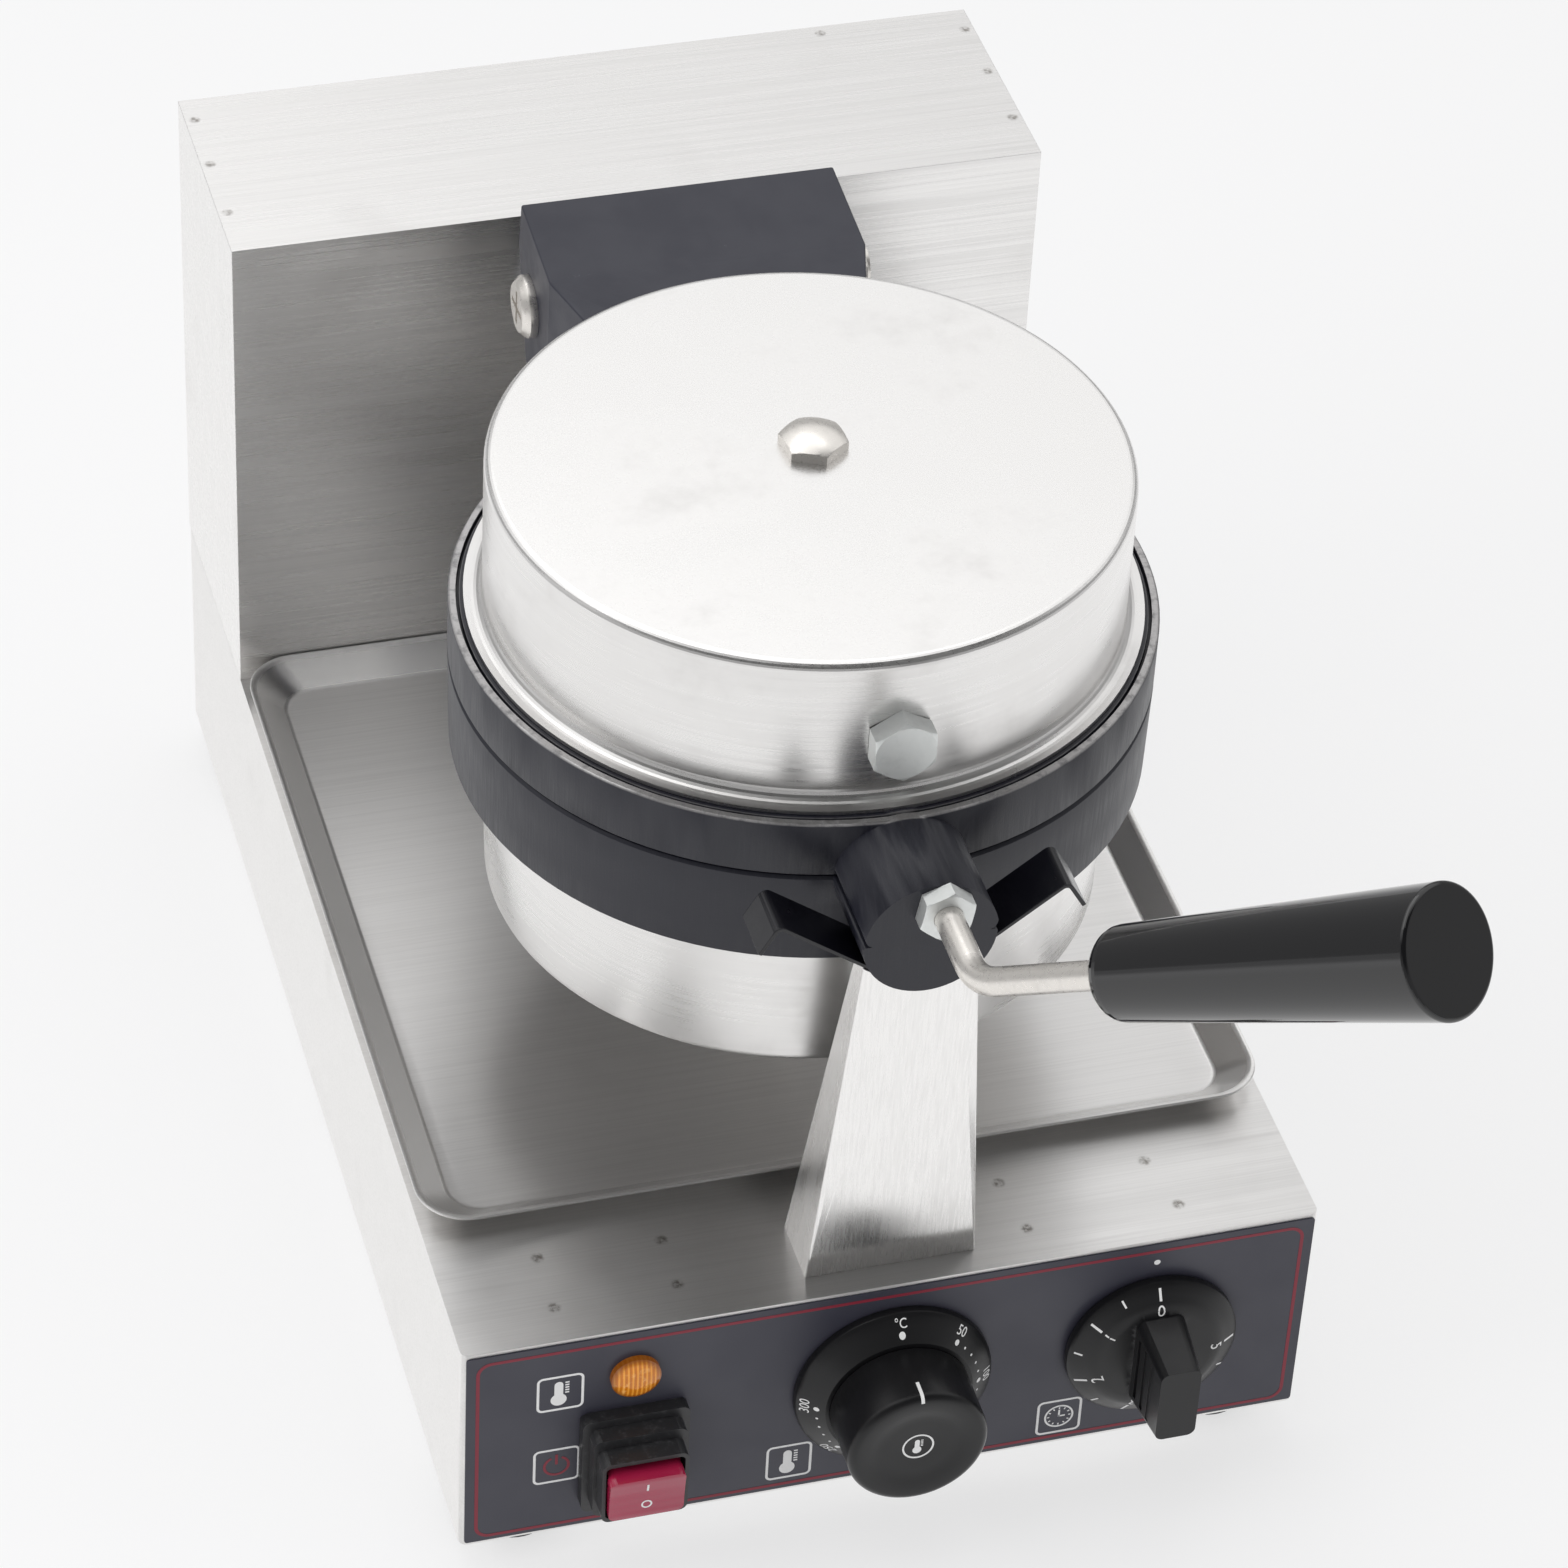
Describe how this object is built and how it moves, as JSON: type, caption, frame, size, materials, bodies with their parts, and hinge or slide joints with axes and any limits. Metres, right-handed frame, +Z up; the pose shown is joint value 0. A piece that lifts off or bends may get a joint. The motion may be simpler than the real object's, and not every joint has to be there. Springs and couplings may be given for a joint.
{
  "type": "waffle cone maker",
  "caption": "Rotary countertop waffle cone maker: a steel base with controls, a rear housing, a round hinged baking head that turns over, and a drip tray.",
  "frame": {"origin": "on the floor, under the centre of the baking head, which is also the centre of the part's own box", "axes": "+X to the right seen from the control panel, +Y to the back along the head's turning axis, +Z up"},
  "size_m": [0.25, 0.5504, 0.3313],
  "materials": {
    "stainless_sheet": "brushed stainless sheet",
    "coated_casting": "dark slate coating on cast aluminium, fine texture",
    "plated_steel": "zinc-plated steel",
    "polished_steel": "polished steel",
    "cast_iron": "machined cast iron",
    "bronze": "plain bronze",
    "element_steel": "heat-tinted element tube",
    "foot_rubber": "black rubber",
    "boot_rubber": "black moulded rubber",
    "overlay_film": "satin printed film",
    "black_steel": "black enamel",
    "black_plastic": "satin black plastic",
    "grip_plastic": "glossy black phenolic",
    "control_case": "plain moulded case",
    "white_plastic": "plain white plastic",
    "amber_lens": "ribbed amber lens",
    "red_rocker": "glossy red plastic"
  },
  "bodies": {
    "base": {"base_shell": "stainless_sheet", "base_back": "stainless_sheet", "bottom_plate": "stainless_sheet", "bottom_screws": "plated_steel", "feet": "foot_rubber", "foot_screws": "plated_steel", "panel_overlay": "overlay_film", "housing_shell": "stainless_sheet", "housing_screws": "plated_steel", "rear_cover": "stainless_sheet", "rear_cover_screws": "plated_steel", "cable_gland": "black_plastic", "gland_nut": "black_plastic", "terminal_block": "white_plastic", "block_screws": "plated_steel", "pivot_bearing": "cast_iron", "bearing_bolts": "plated_steel", "thrust_washer": "bronze", "turn_stop": "plated_steel", "stand": "stainless_sheet", "stand_screws": "plated_steel", "saddle": "black_steel", "thermostat_body": "control_case", "scale_ring": "black_plastic", "timer_body": "control_case", "switch_body": "black_plastic", "switch_boot": "boot_rubber", "lamp_body": "control_case", "lamp_lens": "amber_lens"},
    "tray": {"drip_tray": "stainless_sheet"},
    "head": {"lower_casting": "coated_casting", "lower_cover": "stainless_sheet", "lower_element": "element_steel", "lower_clamp": "plated_steel", "lower_stud": "plated_steel", "lower_cover_nut": "polished_steel", "lower_side_bolt": "plated_steel", "hinge_yoke": "coated_casting", "yoke_bolts": "plated_steel", "pivot_shaft": "polished_steel", "shaft_collar": "cast_iron"},
    "lid": {"upper_casting": "coated_casting", "upper_cover": "stainless_sheet", "upper_element": "element_steel", "upper_clamp": "plated_steel", "upper_stud": "plated_steel", "upper_cover_nut": "polished_steel", "upper_side_bolt": "plated_steel", "hinge_arm": "coated_casting", "arm_bolts": "plated_steel", "hinge_pin": "plated_steel", "handle_rod": "polished_steel", "lock_nut": "plated_steel", "grip": "grip_plastic"},
    "thermostat": {"thermostat_knob": "black_plastic", "thermostat_shaft": "plated_steel"},
    "timer": {"timer_knob": "black_plastic", "timer_shaft": "plated_steel"},
    "power_rocker": {"rocker": "red_rocker"}
  },
  "joints": [
    {"name": "tray_slide", "type": "slide", "parent": "base", "child": "tray", "axis": [1, 0, 0], "range_m": [0, 0.25]},
    {"name": "head_turn", "type": "hinge", "parent": "base", "child": "head", "pos_m": [0, 0, 0.2195], "axis": [0, 1, 0], "range_deg": [-180, 0]},
    {"name": "lid_open", "type": "hinge", "parent": "head", "child": "lid", "pos_m": [0, 0.128, 0.253], "axis": [-1, 0, 0], "range_deg": [0, 95]},
    {"name": "thermostat_turn", "type": "hinge", "parent": "base", "child": "thermostat", "pos_m": [0, -0.1225, 0.0485], "axis": [0, 1, 0], "range_deg": [0, 300]},
    {"name": "timer_turn", "type": "hinge", "parent": "base", "child": "timer", "pos_m": [0.077, -0.1225, 0.047], "axis": [0, 1, 0], "range_deg": [0, 270], "stiffness_Nm_per_rad": 0.01},
    {"name": "power_switch", "type": "hinge", "parent": "base", "child": "power_rocker", "pos_m": [-0.0756, -0.129, 0.038], "axis": [-1, 0, 0], "range_deg": [0, 12]}
  ]
}
